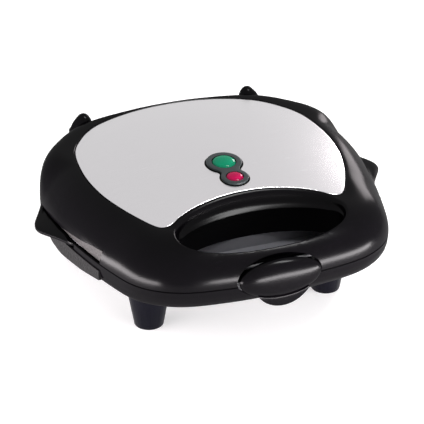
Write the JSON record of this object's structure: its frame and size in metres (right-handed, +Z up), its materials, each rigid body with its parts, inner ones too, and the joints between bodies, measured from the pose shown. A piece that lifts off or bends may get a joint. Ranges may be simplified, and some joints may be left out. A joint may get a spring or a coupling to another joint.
{
  "type": "sandwich toaster",
  "caption": "Electric sandwich toaster: rounded glossy housing, hinged lid with steel top panel and handle opening, front latch, side tabs, indicator lamps and tall feet.",
  "frame": {"origin": "on the table, under the middle of the part's box", "axes": "+X to the right as seen from the front, +Y to the rear where the hinge is, +Z up"},
  "size_m": [0.28, 0.2509, 0.1109],
  "materials": {
    "gloss_black": "polished black moulding",
    "matt_black": "heat-resistant matt black moulding",
    "foot_grey": "satin dark grey moulding",
    "pad_rubber": "matt rubber",
    "textured_grey": "coarse grain",
    "plate_coating": "dark non-stick coating",
    "element_steel": "oxidised tube",
    "bright_steel": "bright sheet",
    "panel_steel": "satin brushed",
    "zinc_steel": "zinc plated",
    "bezel_grey": "satin dark grey moulding",
    "green_lens": "clear green moulding",
    "red_lens": "clear red moulding",
    "neon_glass": "clear glass bulb",
    "board_brown": "laminate",
    "block_ivory": "ivory ceramic or moulding",
    "lead_sleeve": "glass-fibre sleeve"
  },
  "bodies": {
    "base": {"base_shell": "gloss_black", "base_frame": "matt_black", "lower_plate": "plate_coating", "lower_element": "element_steel", "lower_reflector": "bright_steel", "lower_element_clips": "zinc_steel", "lower_reflector_screws": "zinc_steel", "front_foot_left": "foot_grey", "front_foot_right": "foot_grey", "rear_foot_left": "foot_grey", "rear_foot_right": "foot_grey", "foot_pads": "pad_rubber", "base_grip_left": "textured_grey", "base_grip_right": "textured_grey", "base_screws": "zinc_steel", "cord_gland": "matt_black", "terminal_block": "block_ivory", "thermostat": "block_ivory", "base_wiring": "lead_sleeve", "hinge_pins": "zinc_steel", "clip_pins": "zinc_steel"},
    "lid": {"lid_shell": "gloss_black", "top_panel": "panel_steel", "lamp_bezel": "bezel_grey", "green_lens": "green_lens", "red_lens": "red_lens", "green_neon": "neon_glass", "red_neon": "neon_glass", "lamp_carrier": "board_brown", "carrier_screws": "zinc_steel", "lid_frame": "matt_black", "upper_plate": "plate_coating", "upper_element": "element_steel", "upper_reflector": "bright_steel", "upper_element_clips": "zinc_steel", "upper_reflector_screws": "zinc_steel", "thermal_fuse": "block_ivory", "lid_wiring": "lead_sleeve", "hinge_arm_left": "gloss_black", "hinge_arm_right": "gloss_black", "hinge_screws": "zinc_steel", "lid_grip_left": "textured_grey", "lid_grip_right": "textured_grey", "lid_screws": "zinc_steel", "latch_pin": "zinc_steel"},
    "latch": {"latch": "gloss_black"},
    "clip_left": {"clip_left": "gloss_black"},
    "clip_right": {"clip_right": "gloss_black"}
  },
  "joints": [
    {"name": "lid_hinge", "type": "hinge", "parent": "base", "child": "lid", "pos_m": [0, 0.1192, 0.059], "axis": [-1, 0, 0], "range_deg": [0, 95]},
    {"name": "latch_hinge", "type": "hinge", "parent": "lid", "child": "latch", "pos_m": [0, -0.1113, 0.079], "axis": [-1, 0, 0], "range_deg": [0, 35]},
    {"name": "clip_left_rock", "type": "hinge", "parent": "base", "child": "clip_left", "pos_m": [-0.1175, 0.017, 0.0616], "axis": [0, -1, 0], "range_deg": [0, 8], "stiffness_Nm_per_rad": 0.1, "springref_deg": -17.19},
    {"name": "clip_right_rock", "type": "hinge", "parent": "base", "child": "clip_right", "pos_m": [0.1175, 0.017, 0.0616], "axis": [0, 1, 0], "range_deg": [0, 8], "stiffness_Nm_per_rad": 0.1, "springref_deg": -17.19}
  ]
}
